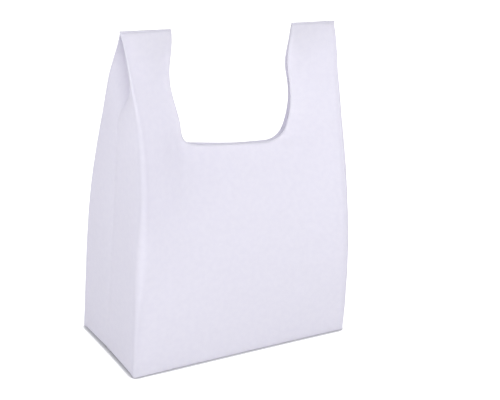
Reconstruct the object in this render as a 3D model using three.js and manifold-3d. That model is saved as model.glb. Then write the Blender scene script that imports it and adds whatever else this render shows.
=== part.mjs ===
// Non-woven carrier bag with die-cut handles, standing open on its base.
// Millimetres, +Z up. X runs along the panels, Y runs from the front (-Y) to the back,
// and the origin is the middle of the base, on the surface that the bag stands on.
//
// The bag is one welded piece of spunbond fabric: a tube of two panels and two creased
// gussets. It is folded flat, cut through all its layers for the mouth and the handles,
// and welded across its foot and across each handle top. Opened out, its foot folds into
// a flat base, its gussets fold in above, and the panels close together at the mouth.

import * as THREE from 'three';
import { mergeVertices } from 'three/addons/utils/BufferGeometryUtils.js';
import Module from 'manifold-3d';

// Fabric, and the flat size that the tube is made to
const fabric = 0.6;             // thickness of one layer
const panelWidth = 300;         // front and back, fold to fold
const gussetWidth = 146;        // each side, fold to fold, and so the depth of the base
const standingHeight = 392;     // base to handle tops

// Mouth and handles, as cut through the flat layers
const mouthHeight = 252.5;      // base to the lowest part of the cut
const mouthCorner = 40;         // radius of the cut's corners
const cornerTurn = 73;          // degrees of that arc, which leans on into the handle's edge
const handleRoot = 69.6;        // width of a handle above the mouth's corner
const handleTop = 62;           // width of a handle at its weld

// How the open bag stands
const handleSpread = 288;       // over both handle tops
const waistWidth = 270;         // narrowest width, fold to fold
const waistHeight = 287;
const spreadPower = 1.3;        // how late the handles spread above the waist
const squareHeight = 30;        // the width starts to draw in here
const taperHeight = 108;        // the side folds start to come together here
const taperPower = 2.6;         // how late they do
const mouthGap = 8;             // front to back at the middle of the mouth
const pinchPower = 1.7;         // how late the panels close towards the mouth
const creaseRun = 64;           // side fold to the soft bend of a pinched panel
const creaseSoft = 0.5;         // softness of that bend at the base
const creaseCrisp = 0.15;       // and at the handle tops
const neckHeight = 330;         // the handles narrow from their roots to here
const waistLean = -4;           // the side folds stand this far along X at the waist

// The mouth stands a little out of the middle, and has one soft buckle under its left corner
const mouthShift = 7;           // towards +X
const mouthPush = 12;           // towards the front
const pushTop = 355;            // the handles stand over the middle again from here
const frontTurn = 5.5;          // its right end stands to the front and its left end to the back
const backTurn = 8.6;
const turnBlend = 12;
const dentAcross = -56;
const dentHeight = 242;
const dentWide = 34;
const dentTall = 51;
const dentDepth = 12.5;

// The gussets stand out under the mouth, and fold in between the handles
const gussetSwell = 6.8;
const swellLow = 60;
const swellHigh = 230;
const tuckLow = 285;
const tuckHigh = 382;
const tuckRound = 0.5;          // share of the spare width that rounds each half there
const slitHeight = 15;          // the cut edges of its halves come together over this height

// Folds, welds and the gap between pressed layers
const cornerFold = 2.5;         // radius of the side folds at the base
const sideFold = 5;             // and from this height up
const sideHeight = 60;
const softFold = 30;            // the front left fold is opened over this width under the mouth
const softLow = 150;
const softFull = 235;
const softFade = 290;
const softHigh = 372;
const baseFold = 2;             // radius of the folds round the base
const layerGap = 0.2;
const innerLayer = 0.5;         // layer pitches from the middle of a flat handle to its gusset
const outerLayer = 1.5;         // and to its panels
const weldHeight = 8;           // band at each handle top where the layers are pressed
const weldLine = 2.5;           // height of the pressed line in that band
const weldDrop = 3;             // handle top to that line
const weldDepth = 0.3;
const finWidth = 9;             // welded fin across the foot, folded flat under the base
const tuckLayers = 2;           // layers of a gusset's foot, folded flat on the base
const gripShare = 0.7;          // share of the base fold that the base stays inside

// How finely the folded sheet is cut into facets
const mouthSteps = 4;
const cornerSteps = 5;
const strapSteps = 5;
const foldSteps = 4;
const gussetSteps = 6;
const tuckSteps = 2;
const bodyRows = 13;
const handleRows = 11;
const pathSteps = 48;
const mergeReach = 1e-3;        // corners nearer than this are one

const panelHalf = panelWidth / 2;
const gussetHalf = gussetWidth / 2;
const layerPitch = fabric + layerGap;
const mouthHalf = panelHalf - handleRoot;
const cornerAngle = THREE.MathUtils.degToRad(cornerTurn);
const cornerWide = mouthCorner * Math.sin(cornerAngle);
const rootHeight = mouthHeight + mouthCorner * (1 - Math.cos(cornerAngle));
const weldFoot = standingHeight - weldHeight;
const strapRest = outerLayer * layerPitch;
const baseRise = 2 * fabric + layerGap;
const tuckTop = (1 + tuckLayers) * fabric;
const baseTop = baseRise + tuckTop + layerGap;
const widestSwing = 2 / Math.sqrt(27);
const archSpare = 3 / 8;        // square of a shallow arch's sag, to its spare length
const archRise = 4;             // slope at its ends, to its sag

const { clamp, lerp, smoothstep } = THREE.MathUtils;

// Half the distance between the front and back side folds at height z
function foldDepth(z) {
  const run = clamp((z - taperHeight) / (weldFoot - taperHeight), 0, 1);
  return lerp(gussetHalf, strapRest, Math.pow(run, taperPower));
}

// Half the distance between the left and right side folds
function foldReach(z) {
  if (z < waistHeight) {
    return lerp(panelHalf, waistWidth / 2, smoothstep(z, squareHeight, waistHeight));
  }
  const run = (z - waistHeight) / (standingHeight - waistHeight);
  return lerp(waistWidth / 2, handleSpread / 2, Math.pow(run, spreadPower));
}

// Half the distance between the panels at their middle, or between a handle's inner edges
function pinchDepth(z) {
  if (z < mouthHeight) {
    return lerp(foldDepth(z), mouthGap / 2, Math.pow(z / mouthHeight, pinchPower));
  }
  return lerp(mouthGap / 2, strapRest, clamp((z - mouthHeight) / (weldFoot - mouthHeight), 0, 1));
}

// Width of a handle along its flat fabric
function strapWidth(z) {
  const left = 1 - clamp((z - rootHeight) / (neckHeight - rootHeight), 0, 1);
  return lerp(handleTop, handleRoot, left * left);
}

// Height at which the flat cut runs, a distance u from the middle of a panel
function cutHeight(u) {
  const round = clamp(u - (mouthHalf - cornerWide), 0, cornerWide);
  return mouthHeight + mouthCorner - Math.sqrt(mouthCorner * mouthCorner - round * round);
}

// A bend from 0 at the middle of a panel to 1 at its fold, straight beyond the crease
function creaseBend(run, crease, soft) {
  const ramp = (q) => (q + Math.sqrt(q * q + soft * soft)) / 2;
  const at = (x) => ramp((x - crease) / (1 - crease));
  return (at(run) - at(0)) / (at(1) - at(0));
}

// How far the stance of the mouth holds at height z
function mouthShare(z) {
  return smoothstep(z, 0, mouthHeight) * (1 - smoothstep(z, rootHeight, pushTop));
}

// How far the front left fold is opened at height z
function softShare(z) {
  return smoothstep(z, softLow, softFull) * (1 - smoothstep(z, softFade, softHigh));
}

// One quarter of the plan section at height z, drawn in the quadrant where x and y are positive.
// A quarter on the left has a sideX of -1, and one at the front a sideY of -1.
function quarterSection(z, inset, sideX, sideY) {
  const fold = new THREE.Vector2(foldReach(z) - inset, foldDepth(z) - inset);
  const push = -sideY * mouthPush * mouthShare(z);
  const pinched = Math.max(pinchDepth(z) - inset, strapRest) + push;
  const soft = lerp(creaseSoft, creaseCrisp, z / standingHeight);
  const crease = 1 - creaseRun / fold.x;
  const strap = z < rootHeight ? handleRoot : strapWidth(z);

  // Each half of the gusset runs from its fold to the middle crease, and is rounded outward
  const kept = Math.min(strap, gussetHalf);
  const span = lerp(gussetHalf, kept, smoothstep(z, rootHeight, rootHeight + slitHeight));
  const tuck = smoothstep(z, tuckLow, tuckHigh);
  const swell = gussetSwell * smoothstep(z, swellLow, swellHigh) * (1 - tuck);
  const deep = tuck * Math.sqrt(Math.max(span * span - fold.y * fold.y, 0));
  const valley = new THREE.Vector2(fold.x + swell - deep, push * tuck);
  const chord = valley.clone().sub(fold);
  const spare = Math.sqrt(archSpare * Math.max(span / chord.length() - 1, 0)) * chord.length();
  const bow = lerp(swell, archRise * tuckRound * spare, tuck);
  const bulge = new THREE.Vector2(-chord.y, chord.x).normalize().multiplyScalar(bow);
  const rest = valley.y + (z < rootHeight ? 0 : innerLayer * layerPitch);

  // The side fold is an arc that leaves the panel and meets the gusset
  const nearFold = 1e-3;
  const rise = (1 - creaseBend(1 - nearFold, crease, soft)) * (fold.y - pinched);
  const alongPanel = new THREE.Vector2(-nearFold * fold.x, -rise).normalize();
  const alongGusset = chord.clone().add(bulge).normalize();
  const openFold = lerp(cornerFold, sideFold, smoothstep(z, 0, sideHeight));
  const crisp = lerp(openFold, layerPitch / 2, smoothstep(z, mouthHeight, weldFoot));
  const opened = sideX < 0 && sideY < 0 ? softFold * softShare(z) : 0;
  const halfAngle = alongPanel.angleTo(alongGusset) / 2;
  const radius = crisp + opened * Math.tan(halfAngle);
  const inward = crisp + opened / Math.cos(halfAngle);
  const across = panelHalf - opened;
  const centre = alongPanel.clone().add(alongGusset).normalize().multiplyScalar(inward).add(fold);
  const panelTurn = Math.atan2(-alongPanel.x, alongPanel.y);
  const gussetTurn = Math.atan2(alongGusset.x, -alongGusset.y);
  const onFold = (share) => {
    const turn = lerp(panelTurn, gussetTurn, share);
    return new THREE.Vector2(Math.cos(turn), Math.sin(turn)).multiplyScalar(radius).add(centre);
  };
  const panelEnd = onFold(0);
  const gussetEnd = onFold(1);

  // The panel's path from its middle to the fold, measured along the fabric. Above the mouth the
  // inner edges of a handle lie together, and not the middles of the panels.
  const atEdge = creaseBend(1 - strap / panelEnd.x, crease, soft);
  const held = (pinched - atEdge * panelEnd.y) / (1 - atEdge);
  const middle = lerp(pinched, held, smoothstep(z, mouthHeight, neckHeight));
  const path = [];
  for (let k = 0; k <= pathSteps; k++) {
    const run = k / pathSteps;
    const y = lerp(middle, panelEnd.y, creaseBend(run, crease, soft));
    path.push(new THREE.Vector2(panelEnd.x * run, y));
  }
  const lengths = [0];
  for (let k = 1; k <= pathSteps; k++) {
    lengths.push(lengths[k - 1] + path[k].distanceTo(path[k - 1]));
  }
  const whole = lengths[pathSteps];
  const stretch = lerp(whole / across, 1, smoothstep(z, mouthHeight, rootHeight));

  return {
    fold: onFold,
    panel(u) {
      const want = clamp(whole - (across - u) * stretch, 0, whole);
      let k = 1;
      while (k < pathSteps && lengths[k] < want) k++;
      const share = (want - lengths[k - 1]) / (lengths[k] - lengths[k - 1]);
      return path[k - 1].clone().lerp(path[k], share);
    },
    gusset(s) {
      const share = s / span;
      const spot = gussetEnd.clone().lerp(valley, share).addScaledVector(bulge, share * (1 - share));
      return spot.setY(Math.max(spot.y, rest));
    },
    kept,
    strap,
    across,
    reach: fold.x,
  };
}

// How a point of a section stands away from the symmetric bag: the side folds lean at the waist,
// the mouth is shifted, turned and dented, and the foot rises with the base.
function stance(z, x, y, reach) {
  const sides = smoothstep(z, squareHeight, waistHeight) * (1 - smoothstep(z, neckHeight, weldFoot));
  const mouth = mouthShare(z);
  const along = clamp(x / reach, -1, 1);
  const between = 1 - along * along;
  const swing = along * between / widestSwing;
  const turn = lerp(frontTurn, backTurn, (clamp(y / turnBlend, -1, 1) + 1) / 2);
  const away = ((x - dentAcross) / dentWide) ** 2 + ((z - dentHeight) / dentTall) ** 2;
  const dent = dentDepth * Math.exp(-away) * between;
  const foot = (1 - smoothstep(z, 0, squareHeight)) * Math.max(1 - Math.abs(y) / gussetHalf, 0);
  return new THREE.Vector3(waistLean * sides + mouthShift * mouth * between,
    dent - turn * mouth * swing, baseRise * foot);
}

// Columns of facets from the middle of a panel, over the side fold, to the gusset's crease.
// A column says where it is cut off in the body, and where it lies on a section.
function bodyColumns() {
  const columns = [];
  const corner = mouthHalf - cornerWide;
  const addPanel = (u) => columns.push({ top: cutHeight(u), on: (section) => section.panel(u) });
  for (let k = 0; k < mouthSteps; k++) addPanel(corner * k / mouthSteps);
  for (let k = 0; k < cornerSteps; k++) {
    addPanel(corner + mouthCorner * Math.sin(cornerAngle * k / cornerSteps));
  }
  return columns.concat(strapColumns(), tipColumns());
}

function strapColumns() {
  const columns = [];
  for (let k = 0; k <= strapSteps; k++) {
    const place = (section) => lerp(panelHalf - section.strap, section.across, k / strapSteps);
    const on = (section) => section.panel(place(section));
    columns.push({ top: rootHeight, on });
  }
  for (let k = 1; k <= foldSteps; k++) {
    columns.push({ top: rootHeight, on: (section) => section.fold(k / foldSteps) });
  }
  for (let k = 1; k <= gussetSteps; k++) {
    columns.push({ top: rootHeight, on: (section) => section.gusset(section.kept * k / gussetSteps) });
  }
  return columns;
}

// The gusset's crease, where it lies beyond the handle and the cut takes it off
function tipColumns() {
  if (gussetHalf <= handleRoot) return [];
  const top = cutHeight(panelHalf - gussetHalf);
  return [{ top, on: (section) => section.gusset(gussetHalf) }];
}

// Rows of the body: round the base fold, then up to where each column is cut off
function bodyLevel(row, top) {
  const foot = fabric / 2;
  if (row <= tuckSteps) {
    const turn = Math.PI / 2 * row / tuckSteps;
    return { z: foot + baseFold * (1 - Math.cos(turn)), inset: baseFold * (1 - Math.sin(turn)) };
  }
  const share = (row - tuckSteps) / bodyRows;
  return { z: lerp(foot + baseFold, top, share), inset: 0 };
}

function handleLevel(row) {
  const run = row / (handleRows - 1);
  const z = row < handleRows ? lerp(rootHeight, weldFoot, run) : weldFoot + fabric;
  return { z, inset: 0 };
}

// One quarter of the sheet as a grid of facets, turned into the quarter given by sideX and sideY
function addQuarter(sheet, columns, rows, levelOf, sideX, sideY) {
  const first = sheet.points.length / 3;
  for (const column of columns) {
    for (let row = 0; row <= rows; row++) {
      const { z, inset } = levelOf(row, column.top);
      const section = quarterSection(z, inset, sideX, sideY);
      const spot = column.on(section);
      const point = new THREE.Vector3(sideX * spot.x, sideY * spot.y, z);
      sheet.points.push(...point.add(stance(z, point.x, point.y, section.reach)));
    }
  }
  const at = (column, row) => first + column * (rows + 1) + row;
  const turned = sideX * sideY > 0;
  for (let column = 0; column + 1 < columns.length; column++) {
    for (let row = 0; row < rows; row++) {
      const a = at(column, row);
      const b = at(column, row + 1);
      const c = at(column + 1, row + 1);
      const d = at(column + 1, row);
      sheet.faces.push(...(turned ? [a, b, c, a, c, d] : [a, c, b, a, d, c]));
    }
  }
}

function foldedSheet() {
  const sheet = { points: [], faces: [] };
  for (const sideX of [-1, 1]) {
    for (const sideY of [-1, 1]) {
      addQuarter(sheet, bodyColumns(), tuckSteps + bodyRows, bodyLevel, sideX, sideY);
      addQuarter(sheet, strapColumns(), handleRows, handleLevel, sideX, sideY);
    }
  }
  const geometry = new THREE.BufferGeometry();
  geometry.setAttribute('position', new THREE.Float32BufferAttribute(sheet.points, 3));
  geometry.setIndex(sheet.faces);
  return mergeVertices(geometry, mergeReach);
}

// Gives a sheet its thickness, half to each side, and closes it along its cut edges
function thicken(geometry, thickness) {
  geometry.computeVertexNormals();
  const place = geometry.attributes.position;
  const normal = geometry.attributes.normal;
  const index = geometry.index.array;
  const points = [];
  for (const side of [0.5, -0.5]) {
    for (let k = 0; k < place.count; k++) {
      const spot = new THREE.Vector3().fromBufferAttribute(place, k);
      const outward = new THREE.Vector3().fromBufferAttribute(normal, k);
      points.push(...spot.addScaledVector(outward, side * thickness));
    }
  }
  const faces = [];
  const edges = new Map();
  for (let k = 0; k < index.length; k += 3) {
    const [a, b, c] = index.slice(k, k + 3);
    if (a === b || b === c || c === a) continue;
    faces.push(a, b, c, a + place.count, c + place.count, b + place.count);
    for (const [from, to] of [[a, b], [b, c], [c, a]]) edges.set(`${from},${to}`, [from, to]);
  }
  for (const [from, to] of edges.values()) {
    if (edges.has(`${to},${from}`)) continue;
    faces.push(from, from + place.count, to, to, from + place.count, to + place.count);
  }
  const closed = new THREE.BufferGeometry();
  closed.setAttribute('position', new THREE.Float32BufferAttribute(points, 3));
  closed.setIndex(faces);
  return closed;
}

const wasm = await Module();
wasm.setup();

function toSolid(geometry) {
  const bare = geometry.clone();
  bare.deleteAttribute('normal');
  bare.deleteAttribute('uv');
  const merged = bare.index ? bare : mergeVertices(bare, mergeReach);
  const vertProperties = new Float32Array(merged.attributes.position.array);
  const triVerts = new Uint32Array(merged.index.array);
  return new wasm.Manifold(new wasm.Mesh({ numProp: 3, vertProperties, triVerts }));
}

function toGeometry(solid) {
  const mesh = solid.getMesh();
  const geometry = new THREE.BufferGeometry();
  geometry.setAttribute('position', new THREE.Float32BufferAttribute(mesh.vertProperties, 3));
  geometry.setIndex(Array.from(mesh.triVerts));
  geometry.computeVertexNormals();
  return geometry;
}

// An outline in plan, raised from the surface that the bag stands on
function upright(points, height) {
  const outline = new THREE.Shape(points);
  return toSolid(new THREE.ExtrudeGeometry(outline, { depth: height, bevelEnabled: false }));
}

// An outline in the Y-Z plane, run along X
function lengthways(points, from, to) {
  const outline = new THREE.Shape(points);
  const run = new THREE.ExtrudeGeometry(outline, { depth: to - from, bevelEnabled: false });
  run.rotateX(Math.PI / 2).rotateZ(Math.PI / 2);
  run.translate(from, 0, 0);
  return toSolid(run);
}

const flat = (x, y) => new THREE.Vector2(x, y);

// The two flaps of the base rise a little to the seam between them
function baseLayers(from, thickness) {
  const edge = gussetHalf;
  const low = from;
  const high = from + baseRise;
  const outline = [flat(-edge, low), flat(0, high), flat(edge, low)];
  outline.push(flat(edge, low + thickness), flat(0, high + thickness), flat(-edge, low + thickness));
  return lengthways(outline, -panelHalf, panelHalf);
}

// Outline of the base, which reaches into its rounded edge so that the walls hold it
function baseOutline() {
  const section = quarterSection(0, baseFold * gripShare, 1, 1);
  const quarter = [section.panel(panelHalf)];
  for (let k = 1; k <= foldSteps; k++) quarter.push(section.fold(k / foldSteps));
  const mirror = (sideX, sideY) => quarter.map((spot) => flat(sideX * spot.x, sideY * spot.y));
  const left = [...mirror(-1, 1), ...mirror(-1, -1).reverse()];
  const right = [...mirror(1, -1), ...mirror(1, 1).reverse()];
  return left.concat(right);
}

// The foot of each gusset lies on the base as a folded triangle of two layers
function gussetTuck(side) {
  const tuck = [flat(side * panelHalf, -gussetHalf), flat(side * panelHalf, gussetHalf)];
  tuck.push(flat(side * (panelHalf - gussetHalf), 0));
  const layers = baseLayers(fabric / 2, tuckTop - fabric / 2);
  return upright(side > 0 ? tuck : tuck.reverse(), baseTop).intersect(layers);
}

function base() {
  const within = upright(baseOutline(), baseTop);
  const flaps = baseLayers(0, fabric).add(gussetTuck(-1)).add(gussetTuck(1)).intersect(within);
  const finTop = baseRise + fabric / 2;
  const fin = [flat(-fabric, 0), flat(finWidth, 0), flat(finWidth, finTop), flat(-fabric, finTop)];
  return flaps.add(lengthways(fin, baseFold - panelHalf, panelHalf - baseFold));
}

// Four pressed layers at a handle top, with the line where they are welded
function handleWeld(side) {
  const outer = handleSpread / 2;
  const inner = outer - handleTop;
  const face = strapRest + fabric / 2;
  const lineTop = standingHeight - weldDrop;
  const lineFoot = lineTop - weldLine;
  const profile = [flat(-face, weldFoot), flat(face, weldFoot), flat(face, lineFoot)];
  profile.push(flat(face - weldDepth, lineFoot), flat(face - weldDepth, lineTop), flat(face, lineTop));
  profile.push(flat(face, standingHeight), flat(-face, standingHeight), flat(-face, lineTop));
  profile.push(flat(weldDepth - face, lineTop), flat(weldDepth - face, lineFoot), flat(-face, lineFoot));
  return side > 0 ? lengthways(profile, inner, outer) : lengthways(profile, -outer, -inner);
}

const group = new THREE.Group();
const cloth = new THREE.MeshStandardMaterial({ color: 0xe6e5f1, roughness: 0.85, metalness: 0 });
const body = toSolid(thicken(foldedSheet(), fabric));
const bag = body.add(base()).add(handleWeld(-1)).add(handleWeld(1));
const mesh = new THREE.Mesh(toGeometry(bag), cloth);
mesh.name = 'carrier_bag';
group.add(mesh);

export default group;
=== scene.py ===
# Non-woven carrier bag: one folded, cut and welded piece of spunbond fabric, standing open on its base.
import math

import bmesh
import bpy
from mathutils import Matrix, Vector, noise


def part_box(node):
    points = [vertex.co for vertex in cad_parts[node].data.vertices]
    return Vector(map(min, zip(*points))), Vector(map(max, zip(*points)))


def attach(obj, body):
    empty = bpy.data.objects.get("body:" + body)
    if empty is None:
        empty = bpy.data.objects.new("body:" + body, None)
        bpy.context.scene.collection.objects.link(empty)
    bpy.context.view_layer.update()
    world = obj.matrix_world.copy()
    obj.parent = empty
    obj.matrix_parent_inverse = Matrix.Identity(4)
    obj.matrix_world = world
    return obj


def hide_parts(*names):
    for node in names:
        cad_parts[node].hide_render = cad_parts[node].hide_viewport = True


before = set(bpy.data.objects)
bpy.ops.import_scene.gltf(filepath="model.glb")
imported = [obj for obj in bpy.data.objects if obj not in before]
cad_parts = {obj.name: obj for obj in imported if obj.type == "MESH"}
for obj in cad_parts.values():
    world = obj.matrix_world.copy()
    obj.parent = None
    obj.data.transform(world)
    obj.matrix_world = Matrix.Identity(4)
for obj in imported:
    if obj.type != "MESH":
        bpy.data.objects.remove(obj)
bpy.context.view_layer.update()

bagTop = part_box("carrier_bag")[1].z
print("frame loaded, the bag stands", round(bagTop, 4), "m tall")


def lerp(a, b, share):
    return a + (b - a) * share


def clamp(value, low, high):
    return max(low, min(high, value))


def smooth(value, low, high):
    share = clamp((value - low) / (high - low), 0.0, 1.0)
    return share * share * (3 - 2 * share)


# The camera stands in front of the left corner and looks down on it, turned a little about its line of sight
cameraSet = {
    "yaw": math.radians(32.812),
    "pitch": math.radians(20.365),
    "roll": math.radians(4.039),
    "distance": 1.3079,
    "target": Vector((0.0398, 0.0, 0.1704)),
    "lens": 75.1,
    "sensor": 36.0,
}


def makeCamera(s):
    yaw, pitch, roll = s["yaw"], s["pitch"], s["roll"]
    ahead = Vector((math.sin(yaw) * math.cos(pitch), math.cos(yaw) * math.cos(pitch), -math.sin(pitch)))
    level = Vector((math.cos(yaw), -math.sin(yaw), 0.0))
    upright = level.cross(ahead)
    right = math.cos(roll) * level + math.sin(roll) * upright
    top = -math.sin(roll) * level + math.cos(roll) * upright
    data = bpy.data.cameras.new("photoCamera")
    data.sensor_width = s["sensor"]
    data.lens = s["lens"]
    camera = bpy.data.objects.new("photoCamera", data)
    turn = Matrix((right, top, -ahead)).transposed().to_4x4()
    camera.matrix_world = Matrix.Translation(s["target"] - ahead * s["distance"]) @ turn
    bpy.context.scene.collection.objects.link(camera)
    bpy.context.scene.camera = camera
    print("camera set")


# The tube of fabric as it is cut, folded and welded, in metres
cut = {
    "fabric": 0.0006,           # thickness of one layer
    "panelWidth": 0.300,        # front and back, fold to fold
    "gussetWidth": 0.146,       # each side, fold to fold
    "foldFlat": 0.004,          # flat width that a side fold takes up
    "mouthHeight": 0.2525,      # base to the lowest part of the mouth's cut
    "mouthCorner": 0.040,       # its corner is an arc that leans on into the handle's edge
    "cornerTurn": math.radians(73),
    "handleRoot": 0.0696,       # width of a handle above the mouth's corner
    "handleTop": 0.062,         # and at its weld
    "weldHeight": 0.008,        # band at a handle top where the layers lie together
    "weldLine": 0.0020,         # height of the pressed line across it
    "weldDrop": 0.0008,         # and how far that is below the top
    "weldSoft": 0.0006,
    "weldPress": 0.3,           # share of the layers' depth that it takes away
    "searedShadeTop": 0.0015,          # the top edge is seared, and painted darker as shade, over this height
    "searedShadeTopMark": 0.8,         # and this far towards the fused colour
    "searedShadeEdge": 0.0025,       # the cut of the mouth is seared, and painted darker as shade, over this width
    "creaseWidth": 0.0045,      # pressed line along each side fold, painted darker as shade
    "creaseShadeMark": 0.5,
    "finWidth": 0.009,          # welded fin under the base
}

# How the bag stands when it is opened
stand = {
    "height": bagTop,
    "handleSpread": 0.288,      # over both handle tops
    "waistWidth": 0.270,        # narrowest width, fold to fold
    "waistHeight": 0.287,
    "waistLean": -0.004,        # the side folds stand this far along X there
    "spreadPower": 1.3,         # how late the handles spread above the waist
    "squareHeight": 0.030,      # the width starts to draw in here
    "taperHeight": 0.108,       # the side folds start to come together here
    "taperPower": 2.5,          # how late they do
    "taperTop": 0.388,          # and meet here
    "mouthGap": 0.0055,         # front to back at the middle of the mouth
    "pinchPower": 1.7,          # how late the panels close towards it
    "creaseRun": 0.064,         # side fold to the soft bend of a pinched panel
    "creaseSoft": 0.5,          # softness of that bend at the base
    "creaseCrisp": 0.15,        # and at the handle tops
    "neckHeight": 0.330,        # the handles narrow from their roots to here
    "mouthShift": 0.007,        # the mouth closes this far to the right of the middle
    "mouthPush": 0.012,         # and this far in front of it
    "pushTop": 0.355,           # the handles stand over the middle again from here
    "frontTurn": 0.0055,        # the right end of the mouth stands to the front, its left end to the back
    "backTurn": 0.0086,
    "turnBlend": 0.012,
    "dentAcross": -0.056,       # soft buckle under the left corner of the mouth
    "dentHeight": 0.242,
    "dentWide": 0.034,
    "dentTall": 0.051,
    "dentDepth": 0.0125,
    "gussetSwell": 0.0056,      # the gusset stands out this far under the mouth
    "swellLow": 0.060,
    "swellHigh": 0.230,
    "tuckLow": 0.285,           # it folds in between the handles from here
    "tuckHigh": 0.382,
    "tuckRound": 0.5,           # share of the sag of its spare width that rounds each half there
    "midCrease": 0.0006,        # its middle keeps the crease of the flat bag
    "midWidth": 0.0040,
    "partHeight": 0.345,        # its halves lie as layers of their own from here
    "cornerFold": 0.0025,       # radius of the side folds at the base
    "sideFold": 0.005,          # and from this height up
    "sideHeight": 0.060,
    "softFold": 0.004,          # the front left fold is opened over this width to each side
    "softLow": 0.060,           # it opens between these heights
    "softFull": 0.140,
    "softFade": 0.150,          # and closes between these
    "softHigh": 0.220,
    "baseFold": 0.002,          # radius of the folds around the base
    "tuckSettle": 0.008,        # the gusset's foot lies in layers of its own this far from a side fold
    "layerGap": 0.0002,
    "finGap": 0.00002,
}

# How finely the sheet is divided
fine = {
    "mouthColumns": 12,
    "cornerColumns": 12,
    "strapColumns": 18,
    "foldColumns": 8,
    "gussetColumns": 22,
    "gather": 1.4,              # how far the columns crowd towards a cut edge or a crease
    "wallRows": 78,
    "arcRows": 4,
    "strapRows": 30,
    "weldRows": 16,
    "finColumns": 60,
    "finRows": 4,
    "pathSteps": 40,
    "slopeStep": 1e-3,          # share of a panel over which its slope at the fold is taken
    "tuckDigits": 6,            # tucks that agree to this many digits are one row
    "mergeReach": 1e-5,
}

panelHalf = cut["panelWidth"] / 2
gussetHalf = cut["gussetWidth"] / 2
layerPitch = cut["fabric"] + stand["layerGap"]
mouthHalf = panelHalf - cut["handleRoot"]
cornerWide = cut["mouthCorner"] * math.sin(cut["cornerTurn"])
rootHeight = cut["mouthHeight"] + cut["mouthCorner"] * (1 - math.cos(cut["cornerTurn"]))
weldFoot = stand["height"] - cut["weldHeight"]
strapRest = 1.5 * layerPitch                        # middle of a handle to the outer of its four layers
baseRise = 2 * cut["fabric"] + stand["layerGap"]    # the base lies over the two layers of the fin
footHeight = cut["fabric"] / 2
flatRound = 2 * cut["panelWidth"] + 2 * cut["gussetWidth"]
arcSag = 3 / 8                                      # sag squared to spare length of a shallow arc
widestSwing = 2 / math.sqrt(27)                     # the most that x - x ** 3 comes to


def foldDepth(z):
    run = clamp((z - stand["taperHeight"]) / (stand["taperTop"] - stand["taperHeight"]), 0.0, 1.0)
    return lerp(gussetHalf, strapRest, run ** stand["taperPower"])


def foldReach(z):
    waist = stand["waistWidth"] / 2
    if z < stand["waistHeight"]:
        return lerp(panelHalf, waist, smooth(z, stand["squareHeight"], stand["waistHeight"]))
    run = (z - stand["waistHeight"]) / (stand["height"] - stand["waistHeight"])
    return lerp(waist, stand["handleSpread"] / 2, clamp(run, 0.0, 1.0) ** stand["spreadPower"])


def pinchDepth(z):
    gap = stand["mouthGap"] / 2
    if z < cut["mouthHeight"]:
        return lerp(foldDepth(z), gap, (z / cut["mouthHeight"]) ** stand["pinchPower"])
    return lerp(gap, strapRest, clamp((z - cut["mouthHeight"]) / (weldFoot - cut["mouthHeight"]), 0.0, 1.0))


def strapWidth(z):
    left = 1 - clamp((z - rootHeight) / (stand["neckHeight"] - rootHeight), 0.0, 1.0)
    return lerp(cut["handleTop"], cut["handleRoot"], left * left)


def cutHeight(u):
    corner = cut["mouthCorner"]
    away = clamp(u - (mouthHalf - cornerWide), 0.0, cornerWide)
    return cut["mouthHeight"] + corner - math.sqrt(corner * corner - away * away)


def creaseBend(run, crease, soft):
    def ramp(x):
        q = (x - crease) / (1 - crease)
        return (q + math.sqrt(q * q + soft * soft)) / 2
    return (ramp(run) - ramp(0.0)) / (ramp(1.0) - ramp(0.0))


def mouthAt(z):
    return smooth(z, 0.0, cut["mouthHeight"]) * (1 - smooth(z, rootHeight, stand["pushTop"]))


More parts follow.
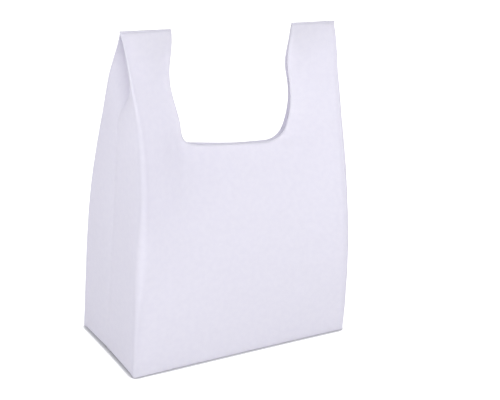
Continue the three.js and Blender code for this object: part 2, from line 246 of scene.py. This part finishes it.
class Section:
    # A quarter of the plan section at height z, turned so that x and y are positive. Left and front are -1.
    def __init__(self, z, inset, sideX, sideY):
        self.fold = Vector((foldReach(z) - inset, foldDepth(z) - inset))
        push = -sideY * stand["mouthPush"] * mouthAt(z)
        self.middle = max(pinchDepth(z) - inset, strapRest) + push
        self.soft = lerp(stand["creaseSoft"], stand["creaseCrisp"], clamp(z / stand["height"], 0.0, 1.0))
        self.crease = 1 - stand["creaseRun"] / self.fold.x
        self.strap = cut["handleRoot"] if z < rootHeight else strapWidth(z)
        self.layGusset(z, push)
        self.roundFold(z, sideX + sideY < 0)
        self.layPath(z)

    def layGusset(self, z, push):
        # Each half runs from its fold to the middle crease, and is rounded outward
        kept = min(self.strap, gussetHalf)
        wide = lerp(gussetHalf, kept, smooth(z, rootHeight, stand["neckHeight"]))
        tuck = smooth(z, stand["tuckLow"], stand["tuckHigh"])
        swell = stand["gussetSwell"] * smooth(z, stand["swellLow"], stand["swellHigh"]) * (1 - tuck)
        deep = math.sqrt(max(wide ** 2 - self.fold.y ** 2, 0.0)) * tuck
        self.valley = Vector((self.fold.x + swell - deep, push * tuck))
        chord = self.valley - self.fold
        sag = math.sqrt(arcSag * max(wide / chord.length - 1, 0.0)) * chord.length
        bow = lerp(swell, 4 * stand["tuckRound"] * sag, tuck)
        self.bulge = Vector((-chord.y, chord.x)).normalized() * bow
        self.alongGusset = (chord + self.bulge).normalized()
        self.press = stand["midCrease"] * smooth(z, 0.0, stand["squareHeight"]) * (1 - tuck)
        self.rest = self.valley.y + layerPitch / 2 * smooth(z, stand["partHeight"], weldFoot)

    def roundFold(self, z, opened):
        near = fine["slopeStep"]
        rise = (1 - creaseBend(1 - near, self.crease, self.soft)) * (self.fold.y - self.middle)
        alongPanel = Vector((-near * self.fold.x, -rise)).normalized()
        openFold = lerp(stand["cornerFold"], stand["sideFold"], smooth(z, 0.0, stand["sideHeight"]))
        crisp = lerp(openFold, layerPitch / 2, smooth(z, cut["mouthHeight"], weldFoot))
        soft = smooth(z, stand["softLow"], stand["softFull"])
        soft *= 1 - smooth(z, stand["softFade"], stand["softHigh"])
        self.opened = stand["softFold"] * soft if opened else 0.0
        half = alongPanel.angle(self.alongGusset) / 2
        self.radius = crisp + self.opened * math.tan(half)
        inward = crisp + self.opened / math.cos(half)
        self.centre = self.fold + (alongPanel + self.alongGusset).normalized() * inward
        self.panelTurn = math.atan2(-alongPanel.x, alongPanel.y)
        self.gussetTurn = math.atan2(self.alongGusset.x, -self.alongGusset.y)

    def onFold(self, share):
        turn = lerp(self.panelTurn, self.gussetTurn, share)
        return self.centre + Vector((math.cos(turn), math.sin(turn))) * self.radius

    def layPath(self, z):
        end = self.onFold(0.0)
        # Above the mouth the inner edges of a handle lie together, and not the middles of the panels
        bend = creaseBend(1 - self.strap / end.x, self.crease, self.soft)
        held = (self.middle - bend * end.y) / (1 - bend)
        self.middle = lerp(self.middle, held, smooth(z, cut["mouthHeight"], stand["neckHeight"]))
        steps = fine["pathSteps"]
        self.path = []
        self.lengths = [0.0]
        for k in range(steps + 1):
            run = k / steps
            y = lerp(self.middle, end.y, creaseBend(run, self.crease, self.soft))
            self.path.append(Vector((end.x * run, y)))
        for before, after in zip(self.path, self.path[1:]):
            self.lengths.append(self.lengths[-1] + (after - before).length)
        whole = self.lengths[-1]
        self.stretch = lerp(whole / (panelHalf - self.opened), 1.0, smooth(z, cut["mouthHeight"], rootHeight))

    def onPanel(self, u):
        whole = self.lengths[-1]
        want = clamp(whole - (panelHalf - self.opened - u) * self.stretch, 0.0, whole)
        k = 1
        while k < len(self.lengths) - 1 and self.lengths[k] < want:
            k += 1
        share = (want - self.lengths[k - 1]) / (self.lengths[k] - self.lengths[k - 1])
        return self.path[k - 1].lerp(self.path[k], share)

    def onGusset(self, share):
        spot = self.onFold(1.0).lerp(self.valley, share) + self.bulge * (share * (1 - share))
        away = (1 - share) * gussetHalf / stand["midWidth"]
        return Vector((spot.x - self.press * math.exp(-away * away), max(spot.y, self.rest)))


def stanceAt(z, x, y, reach):
    # How a point stands away from the symmetric bag
    sides = smooth(z, stand["squareHeight"], stand["waistHeight"])
    sides *= 1 - smooth(z, stand["neckHeight"], weldFoot)
    mouth = mouthAt(z)
    along = clamp(x / reach, -1.0, 1.0)
    between = 1 - along * along
    swing = along * between / widestSwing
    backShare = (clamp(y / stand["turnBlend"], -1.0, 1.0) + 1) / 2
    turn = lerp(stand["frontTurn"], stand["backTurn"], backShare)
    dentX = (x - stand["dentAcross"]) / stand["dentWide"]
    dentZ = (z - stand["dentHeight"]) / stand["dentTall"]
    dent = stand["dentDepth"] * math.exp(-dentX ** 2 - dentZ ** 2) * between
    foot = (1 - smooth(z, 0.0, stand["squareHeight"])) * max(1 - abs(y) / gussetHalf, 0.0)
    shift = stand["waistLean"] * sides + stand["mouthShift"] * mouth * between
    return Vector((shift, dent - mouth * turn * swing, baseRise * foot))


# Columns of the sheet. Each says how it lies on a section, where it is on the flat fabric and where it is
# cut off. Run is how far it is from a handle's cut edge, away from a side fold, and tuck into the gusset.
def panelColumn(u):
    return {"on": lambda s: s.onPanel(u), "flat": lambda s: u, "top": cutHeight(u)}


def strapColumn(share):
    def on(s):
        return s.onPanel(lerp(panelHalf - s.strap, panelHalf - s.opened, share))

    def flat(s):
        return lerp(mouthHalf, panelHalf - s.opened, share)
    run = share * cut["handleRoot"]
    return {"on": on, "flat": flat, "top": rootHeight, "run": run, "away": cut["handleRoot"] - run}


def foldColumn(share):
    def flat(s):
        return panelHalf + lerp(-s.opened, cut["foldFlat"] + s.opened, share)
    return {"on": lambda s: s.onFold(share), "flat": flat, "top": rootHeight, "away": 0.0, "tuck": 0.0}


def gussetColumn(share):
    def flat(s):
        return panelHalf + cut["foldFlat"] + lerp(s.opened, gussetHalf, share)
    away = share * gussetHalf
    return {"on": lambda s: s.onGusset(share), "flat": flat, "top": rootHeight, "away": away, "tuck": away}


def evenly(make, count, skipFirst=False):
    return [make(k / count) for k in range(1 if skipFirst else 0, count + 1)]


def mouthColumns():
    straight = mouthHalf - cornerWide
    places = [straight * k / fine["mouthColumns"] for k in range(fine["mouthColumns"])]
    for k in range(fine["cornerColumns"] + 1):
        turn = cut["cornerTurn"] * k / fine["cornerColumns"]
        places.append(straight + cut["mouthCorner"] * math.sin(turn))
    return [panelColumn(u) for u in places]


def strapColumns():
    return evenly(lambda k: strapColumn(k ** fine["gather"]), fine["strapColumns"])


def sideColumns():
    def gathered(k):
        return gussetColumn(1 - (1 - k) ** fine["gather"])
    return evenly(foldColumn, fine["foldColumns"]) + evenly(gathered, fine["gussetColumns"], skipFirst=True)


# Rows of the sheet from the weld under the base up to the cut
def baseRows():
    tucks = [column["tuck"] for column in sideColumns()]
    return sorted({round(t, fine["tuckDigits"]) for t in tucks if t > 0}, reverse=True)


def wallHeight(row, top):
    radius = stand["baseFold"]
    if row < fine["arcRows"]:
        turn = math.pi / 2 * row / fine["arcRows"]
        return footHeight + radius * (1 - math.cos(turn)), radius * (1 - math.sin(turn))
    share = (row - fine["arcRows"]) / fine["wallRows"]
    return lerp(footHeight + radius, top, share), 0.0


def strapHeight(row):
    if row <= fine["strapRows"]:
        return lerp(rootHeight, weldFoot, row / fine["strapRows"])
    return lerp(weldFoot, stand["height"], (row - fine["strapRows"]) / fine["weldRows"])


def layerUnder(g, tuck):
    # The gusset's foot is tucked in as two layers over the base, and folded between them where g meets tuck
    if abs(g - tuck) < 10 ** -fine["tuckDigits"]:
        return 1.5
    return 1.0 if tuck > g else 2.0


def underBase(column, edge, tuck, sideX, sideY):
    # The panels fold under to the weld, with the gusset's foot between them
    depth = edge.fold.y
    ratio = depth / gussetHalf
    if "tuck" not in column:
        x, y, layer = column["on"](edge).x, depth - tuck * ratio, 0.0
    else:
        g = column["tuck"]
        x = edge.fold.x - min(g, tuck)
        y = depth - max(g, tuck) * ratio
        layer = layerUnder(g, tuck) * smooth(g, 0.0, stand["tuckSettle"])
    rise = baseRise * max(1 - abs(y) / gussetHalf, 0.0)
    return Vector((sideX * x, sideY * max(y, 0.0), footHeight + rise + layer * layerPitch))


def footLift(column, z):
    # The gusset's foot stands on its own two tucked layers
    if "tuck" not in column:
        return 0.0
    settle = smooth(column["tuck"], 0.0, stand["tuckSettle"])
    return 2 * layerPitch * settle * (1 - smooth(z, 0.0, stand["squareHeight"]))


def weldAt(z):
    # 1 on the pressed line across a handle top
    soft = cut["weldSoft"]
    top = stand["height"] - cut["weldDrop"]
    foot = top - cut["weldLine"]
    return smooth(z, foot - soft, foot + soft) * (1 - smooth(z, top - soft, top + soft))


# The pressed line across a handle top, and its top edge, seared and painted darker as shade along it
def weldAndTopShadeAt(z):
    topEdge = smooth(z, stand["height"] - cut["searedShadeTop"], stand["height"])
    return max(weldAt(z), cut["searedShadeTopMark"] * topEdge)


def searedShadeAt(column, z):
    # 1 at the cut of the mouth and along the inner edges of the handles, where they are seared and painted
    # darker as shade along the edge
    if "tuck" in column:
        return 0.0
    below = max(column["top"] - z, 0.0)
    return 1 - smooth(math.hypot(below, column.get("run", 0.0)), 0.0, cut["searedShadeEdge"])


def creaseShadeAt(column, section):
    # The pressed line of a side fold, painted darker as shade along the fold, and gone where the fold is
    # opened
    away = column.get("away", cut["creaseWidth"])
    line = 1 - smooth(away, 0.0, cut["creaseWidth"])
    return cut["creaseShadeMark"] * line * (1 - section.opened / stand["softFold"])


def onWall(column, section, z, sideX, sideY):
    spot = column["on"](section)
    point = Vector((sideX * spot.x, sideY * spot.y, z))
    point += stanceAt(z, point.x, point.y, section.fold.x)
    point.y *= 1 - cut["weldPress"] * weldAt(z)
    point.z += footLift(column, z)
    return point


def flatAcross(column, section, sideX, sideY):
    flat = column["flat"](section)
    return sideX * (flat if sideY < 0 else flatRound / 2 + 2 * cut["foldFlat"] - flat)


class SheetMaker:
    # Lays grids of fabric into one mesh, with the flat place of every corner in its UV map
    def __init__(self):
        self.bm = bmesh.new()
        self.flat = self.bm.loops.layers.uv.new("flatCloth")
        self.edge = self.bm.verts.layers.float.new("cutEdgeAndFoldShade")
        self.weld = self.bm.verts.layers.float.new("weldLine")

    def lay(self, columns, rows, place, flipped):
        wide, tall = len(columns) - 1, len(rows) - 1
        half = 0.5              # the grid starts out one unit wide
        made = bmesh.ops.create_grid(self.bm, x_segments=wide, y_segments=tall, size=half)["verts"]
        spots = {}
        for vert in made:
            column = columns[round((vert.co.x + half) * wide)]
            row = rows[round((vert.co.y + half) * tall)]
            spots[vert] = place(column, row)
        faces = list({face for vert in made for face in vert.link_faces})
        for vert, (point, flat, edge, weld) in spots.items():
            vert.co = point
            vert[self.edge] = edge
            vert[self.weld] = weld
            for loop in vert.link_loops:
                loop[self.flat].uv = flat
        if flipped:
            bmesh.ops.reverse_faces(self.bm, faces=faces)


def layQuarter(maker, sideX, sideY):
    flipped = sideX * sideY > 0

    def place(column, row):
        kind, value = row
        if kind == "base":
            foot = Section(footHeight, stand["baseFold"], sideX, sideY)
            across = flatAcross(column, foot, sideX, sideY)
            return underBase(column, foot, value, sideX, sideY), (across, -value), 0.0, 0.0
        z, inset = wallHeight(value, column["top"]) if kind == "wall" else (strapHeight(value), 0.0)
        section = Section(z, inset, sideX, sideY)
        across = flatAcross(column, section, sideX, sideY)
        # Painted shade along the side folds, and seared cuts with painted shade along them, darken the colour
        # here
        edge = max(searedShadeAt(column, z), creaseShadeAt(column, section))
        return onWall(column, section, z, sideX, sideY), (across, z), edge, weldAndTopShadeAt(z)

    base = [("base", tuck) for tuck in baseRows()]
    wall = base + [("wall", k) for k in range(fine["arcRows"] + fine["wallRows"] + 1)]
    strap = [("strap", k) for k in range(fine["strapRows"] + fine["weldRows"] + 1)]
    maker.lay(mouthColumns(), wall, place, flipped)
    maker.lay(strapColumns(), wall, place, flipped)
    maker.lay(sideColumns(), wall, place, flipped)
    maker.lay(strapColumns(), strap, place, flipped)
    maker.lay(sideColumns(), strap, place, flipped)


def finSpot(x, y, z):
    return Vector((x, y, z)), (x, -gussetHalf - y), 0.0, 1.0


def layFin(maker):
    # The welded foot of the tube, folded flat under the base in two layers
    reach = panelHalf - stand["baseFold"]
    across = evenly(lambda k: lerp(-reach, reach, k), fine["finColumns"])
    along = evenly(lambda k: lerp(-cut["fabric"], cut["finWidth"], k), fine["finRows"])
    for layer in (0, 1):
        z = footHeight + layer * (cut["fabric"] + stand["finGap"])
        maker.lay(across, along, lambda x, y: finSpot(x, y, z), layer == 0)


# Small unevenness of the standing fabric, and the few creases that the bag keeps
wrinkle = {
    "broad": 0.0015,            # how far it stands out, and how far apart
    "broadSize": 0.070,
    "small": 0.00032,
    "smallSize": 0.018,
    "upright": 0.55,            # it is drawn out up the bag
    "footLow": 0.004,           # none at the base
    "footHigh": 0.030,
    "topLow": 0.255,            # little in the handles
    "topHigh": 0.300,
    "topKept": 0.15,
    "frontFacing": 0.5,         # how squarely to the front the fabric faces where it is creased
    "creases": (                # on the front: start and end across and up, width, and how far it stands out
        ((-0.079, 0.268), (-0.071, 0.232), 0.004, 0.0006),
        ((-0.142, 0.007), (-0.122, 0.011), 0.005, -0.0012),
        ((-0.113, 0.080), (-0.092, 0.091), 0.004, 0.0006),
        ((0.066, 0.130), (0.104, 0.141), 0.005, 0.0006),
        ((0.070, 0.152), (0.098, 0.149), 0.005, -0.0005),
    ),
}


def creaseAt(s, x, z):
    height = 0.0
    spot = Vector((x, z))
    for start, end, width, rise in s["creases"]:
        start, end = Vector(start), Vector(end)
        share = clamp((spot - start).dot(end - start) / (end - start).length_squared, 0.0, 1.0)
        away = (spot - start.lerp(end, share)).length / width
        height += rise * math.exp(-away * away)
    return height


def crumple(bm, s):
    bm.normal_update()
    for vert in bm.verts:
        x, y, z = vert.co
        spot = Vector((x, y, z * s["upright"]))
        move = s["broad"] * noise.noise(spot / s["broadSize"])
        move += s["small"] * noise.noise(spot / s["smallSize"])
        move *= smooth(z, s["footLow"], s["footHigh"])
        move *= lerp(1.0, s["topKept"], smooth(z, s["topLow"], s["topHigh"]))
        if vert.normal.y < -s["frontFacing"] and z > s["footLow"]:
            move += creaseAt(s, x, z)
        vert.co += vert.normal * move


def makeBag():
    maker = SheetMaker()
    for sideX in (-1, 1):
        for sideY in (-1, 1):
            layQuarter(maker, sideX, sideY)
    bmesh.ops.remove_doubles(maker.bm, verts=maker.bm.verts, dist=fine["mergeReach"])
    crumple(maker.bm, wrinkle)
    layFin(maker)
    mesh = bpy.data.meshes.new("carrierBag")
    maker.bm.to_mesh(mesh)
    maker.bm.free()
    for face in mesh.polygons:
        face.use_smooth = True
    bag = bpy.data.objects.new("carrierBag", mesh)
    bpy.context.scene.collection.objects.link(bag)
    thick = bag.modifiers.new("fabricThickness", "SOLIDIFY")
    thick.thickness = cut["fabric"]
    thick.offset = 0.0
    print("bag folded,", len(mesh.polygons), "faces")
    return bag


class Wire:
    # A socket that can be used in sums, each of which adds its Math node
    def __init__(self, paint, socket):
        self.paint = paint
        self.socket = socket

    def combine(self, operation, *values):
        return self.paint.node("ShaderNodeMath", {"operation": operation}, dict(enumerate(values)))

    def __add__(self, other):
        return self.combine("ADD", self, other)

    def __radd__(self, other):
        return self.combine("ADD", other, self)

    def __sub__(self, other):
        return self.combine("SUBTRACT", self, other)

    def __rsub__(self, other):
        return self.combine("SUBTRACT", other, self)

    def __mul__(self, other):
        return self.combine("MULTIPLY", self, other)

    def __rmul__(self, other):
        return self.combine("MULTIPLY", other, self)

    def __truediv__(self, other):
        return self.combine("DIVIDE", self, other)

    def __rtruediv__(self, other):
        return self.combine("DIVIDE", other, self)

    def most(self, other):
        return self.combine("MAXIMUM", self, other)

    def fraction(self):
        return self.combine("FRACT", self)

    def whole(self):
        return self.combine("FLOOR", self)

    def ramp(self, low, high):
        settings = {"interpolation_type": "SMOOTHSTEP"}
        sockets = {"Value": self, "From Min": low, "From Max": high}
        return self.paint.node("ShaderNodeMapRange", settings, sockets)


class Paint:
    # A material or world whose nodes are made one at a time
    def __init__(self, holder):
        holder.use_nodes = True
        self.tree = holder.node_tree
        self.tree.nodes.clear()

    def node(self, kind, settings, sockets, output=0):
        made = self.tree.nodes.new(kind)
        for name, value in settings.items():
            setattr(made, name, value)
        for name, value in sockets.items():
            if isinstance(value, Wire):
                self.tree.links.new(value.socket, made.inputs[name])
            else:
                made.inputs[name].default_value = value
        return Wire(self, made.outputs[output]) if made.outputs else None

    def mix(self, share, first, second):
        settings = {"data_type": "RGBA"}
        return self.node("ShaderNodeMix", settings, {0: share, 6: first, 7: second}, output=2)


spunbond = {
    "white": (0.927, 0.917, 0.971, 1.0),
    "thin": (0.885, 0.875, 0.94, 1.0),      # where the fibres lie thinner
    "fusedAndShaded": (0.74, 0.735, 0.80, 1.0),      # pressed in a weld and seared along the cuts, with painted shade along the cut edges, the top edges and the side folds
    "fusedShadeShare": 0.75,
    "through": (0.922, 0.912, 0.962, 1.0),  # light that comes through the thin fabric
    "throughShare": 0.5,
    "cloudScale": 150.0,                    # clumps of fibre per metre
    "cloudDetail": 5.0,
    "cloudRough": 0.6,
    "cloudLow": 0.35,                       # thin turns to white between these
    "cloudHigh": 0.65,
    "fibreScale": 900.0,
    "fibreDetail": 2.0,
    "fibreTwist": 2.5,
    "bondPitch": 0.0014,                    # bond points, across and along the fabric
    "bondRow": 0.0011,
    "bondOval": 1.6,
    "bondCore": 0.02,                       # pressed flat within this, and fading out to the rim
    "bondRim": 0.11,
    "rough": 0.82,
    "fusedGloss": 0.25,                     # how much smoother it is there
    "bondGloss": 0.12,
    "cloudMatt": 0.06,
    "cloudHeight": 0.5,                     # shares of the relief
    "fibreHeight": 0.35,
    "bondDepth": 0.6,
    "bumpStrength": 0.55,
    "bumpDepth": 0.00012,
    "ior": 1.49,
    "specular": 0.3,
    "sheen": 0.12,
    "sheenRough": 0.6,
}


def spunbondMaterial(s):
    material = bpy.data.materials.new("spunbondFabric")
    paint = Paint(material)
    place = paint.node("ShaderNodeUVMap", {"uv_map": "flatCloth"}, {})
    across = paint.node("ShaderNodeSeparateXYZ", {}, {0: place}, output=0)
    along = paint.node("ShaderNodeSeparateXYZ", {}, {0: place}, output=1)

    # Bond points stand in staggered rows, each a small pressed oval
    row = (along / s["bondRow"]).whole()
    stagger = (row * 0.5).fraction()
    dx = (across / s["bondPitch"] + stagger).fraction() - 0.5
    dy = (along / s["bondRow"]).fraction() - 0.5
    bond = 1 - (dx * dx * s["bondOval"] + dy * dy).ramp(s["bondCore"], s["bondRim"])

    # Fibres lie in soft clumps, with fine threads in them
    cloud = paint.node("ShaderNodeTexNoise", {}, {
        "Vector": place, "Scale": s["cloudScale"], "Detail": s["cloudDetail"], "Roughness": s["cloudRough"]})
    thread = paint.node("ShaderNodeTexNoise", {}, {
        "Vector": place, "Scale": s["fibreScale"], "Detail": s["fibreDetail"], "Distortion": s["fibreTwist"]})
    weld = paint.node("ShaderNodeAttribute", {"attribute_name": "weldLine"}, {}, output=2)
    edgeAndFoldShade = paint.node("ShaderNodeAttribute", {"attribute_name": "cutEdgeAndFoldShade"}, {}, output=2)
    # Where the colour goes to the fused colour: welds, seared cuts, and painted shade along the edges and
    # side folds
    fusedAndShaded = weld.most(edgeAndFoldShade)

    colour = paint.mix(cloud.ramp(s["cloudLow"], s["cloudHigh"]), s["thin"], s["white"])
    colour = paint.mix(fusedAndShaded * s["fusedShadeShare"], colour, s["fusedAndShaded"])
    rough = s["rough"] - fusedAndShaded * s["fusedGloss"] - bond * s["bondGloss"] + cloud * s["cloudMatt"]
    height = cloud * s["cloudHeight"] + thread * s["fibreHeight"] - bond * s["bondDepth"] * (1 - fusedAndShaded)
    bump = paint.node("ShaderNodeBump", {}, {
        "Height": height, "Strength": s["bumpStrength"], "Distance": s["bumpDepth"]})
    front = paint.node("ShaderNodeBsdfPrincipled", {}, {
        "Base Color": colour, "Roughness": rough, "Normal": bump, "IOR": s["ior"],
        "Specular IOR Level": s["specular"], "Sheen Weight": s["sheen"], "Sheen Roughness": s["sheenRough"]})
    behind = paint.node("ShaderNodeBsdfTranslucent", {}, {"Color": s["through"]})
    shader = paint.node("ShaderNodeMixShader", {}, {0: s["throughShare"], 1: front, 2: behind})
    paint.node("ShaderNodeOutputMaterial", {}, {"Surface": shader})
    print("fabric painted")
    return material


studio = {
    "floorSize": 3.0,                       # half its width
    "floorColour": (0.84, 0.84, 0.84, 1.0),
    "floorGlow": 0.65,                      # the floor's own white, for the camera alone
    "contactShade": (0.60, 0.60, 0.62, 1.0),
    "contactReach": 0.010,                  # how far the dark line along the foot of the bag spreads
    "contactDark": 0.5,
    "contactClear": 0.90,
    "skyColour": (1.0, 1.0, 1.0, 1.0),
    "skyLight": 0.92,                       # the sky's light on the bag, where the camera sees 1
    "aim": Vector((0.0, 0.0, 0.19)),
}

# Soft lamps, each with its place, its width and its power
lamps = {
    "softKey": (Vector((-0.28, -1.95, 0.85)), 1.1, 13.0),
    "sideFill": (Vector((-2.30, -0.60, 0.70)), 1.4, 6.5),
}


def seenDirectly(paint):
    # 1 for what the camera sees, also in a mirror or through glass, and 0 for light scattered by the fabric
    seen = paint.node("ShaderNodeLightPath", {}, {}, output="Is Camera Ray")
    for name in ("Is Glossy Ray", "Is Transmission Ray"):
        seen = seen.most(paint.node("ShaderNodeLightPath", {}, {}, output=name))
    return seen * (1 - paint.node("ShaderNodeLightPath", {}, {}, output="Is Diffuse Ray"))


def makeFloor(s):
    bm = bmesh.new()
    bmesh.ops.create_grid(bm, x_segments=1, y_segments=1, size=s["floorSize"])
    mesh = bpy.data.meshes.new("studioFloor")
    bm.to_mesh(mesh)
    bm.free()
    floor = bpy.data.objects.new("studioFloor", mesh)
    bpy.context.scene.collection.objects.link(floor)
    material = bpy.data.materials.new("paleFloor")
    mesh.materials.append(material)
    paint = Paint(material)
    # The glow gives way where the bag stands close over the floor, so that its contact shadow is kept, and
    # the floor's colour is darkened there as a painted contact shadow
    bare = paint.node("ShaderNodeAmbientOcclusion", {}, {"Distance": s["contactReach"]}, output="AO")
    bare = bare.ramp(s["contactDark"], s["contactClear"])
    colour = paint.mix(bare, s["contactShade"], s["floorColour"])
    matt = paint.node("ShaderNodeBsdfDiffuse", {}, {"Color": colour})
    glow = paint.node("ShaderNodeEmission", {}, {"Strength": seenDirectly(paint) * s["floorGlow"] * bare})
    both = paint.node("ShaderNodeAddShader", {}, {0: matt, 1: glow})
    paint.node("ShaderNodeOutputMaterial", {}, {"Surface": both})
    print("floor laid")


def makeSky(s):
    world = bpy.data.worlds.new("studioSky")
    bpy.context.scene.world = world
    paint = Paint(world)
    seen = seenDirectly(paint)
    level = seen + (1 - seen) * s["skyLight"]
    sky = paint.node("ShaderNodeBackground", {}, {"Color": s["skyColour"], "Strength": level})
    paint.node("ShaderNodeOutputWorld", {}, {"Surface": sky})
    print("sky made")


def hangLamps(s, aim):
    for name, (place, size, power) in s.items():
        lamp = bpy.data.lights.new(name, "AREA")
        lamp.shape = "SQUARE"
        lamp.size = size
        lamp.energy = power
        held = bpy.data.objects.new(name, lamp)
        turn = (aim - place).to_track_quat("-Z", "Y").to_matrix().to_4x4()
        held.matrix_world = Matrix.Translation(place) @ turn
        bpy.context.scene.collection.objects.link(held)
    print("lamps hung")


makeCamera(cameraSet)
makeFloor(studio)
makeSky(studio)
hangLamps(lamps, studio["aim"])
bag = makeBag()
bag.data.materials.append(spunbondMaterial(spunbond))
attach(bag, "root")
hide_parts("carrier_bag")

bpy.context.scene.view_settings.view_transform = "Standard"
